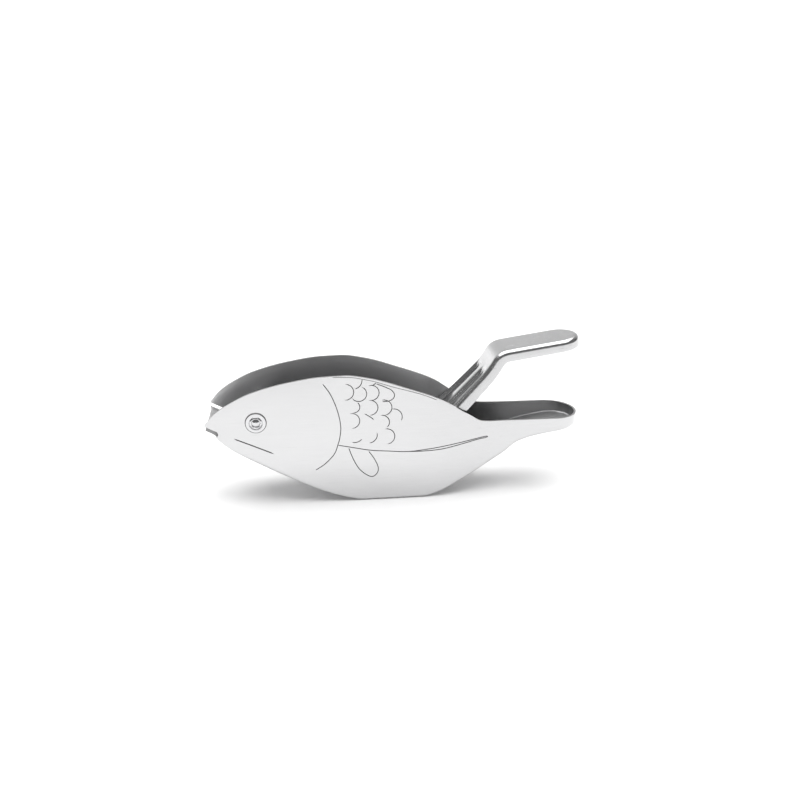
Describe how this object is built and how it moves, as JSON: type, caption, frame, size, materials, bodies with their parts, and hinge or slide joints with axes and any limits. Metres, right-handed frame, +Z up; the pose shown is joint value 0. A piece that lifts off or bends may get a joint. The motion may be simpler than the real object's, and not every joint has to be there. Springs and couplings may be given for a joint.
{
  "type": "fish-shaped citrus wedge squeezer",
  "caption": "Pressed-steel fish-shaped trough with a tail handle, domed eye rivets and a hinged channel lever that presses a citrus wedge.",
  "frame": {"origin": "middle of the bounding box in plan, on the surface that the flat belly rests on", "axes": "+X towards the tail and the handles, -X towards the pouring nose, +Y across the trough to the fish's right side, +Z up"},
  "size_m": [0.1488, 0.0296, 0.0631],
  "materials": {
    "polished_sheet": "polished stainless steel sheet with fine brushing and engraved fish details",
    "satin_sheet": "stainless steel sheet, satin web and polished bends",
    "rivet_steel": "bright turned steel"
  },
  "bodies": {
    "trough": {"trough_body": "polished_sheet", "eye_rivet_left": "rivet_steel", "eye_rivet_right": "rivet_steel", "washer_left": "rivet_steel", "washer_right": "rivet_steel"},
    "lever": {"press_lever": "satin_sheet"}
  },
  "joints": [
    {"name": "lever_hinge", "type": "hinge", "parent": "trough", "child": "lever", "pos_m": [-0.0558, 0, 0.0352], "axis": [0, -1, 0], "range_deg": [0, 65]}
  ]
}
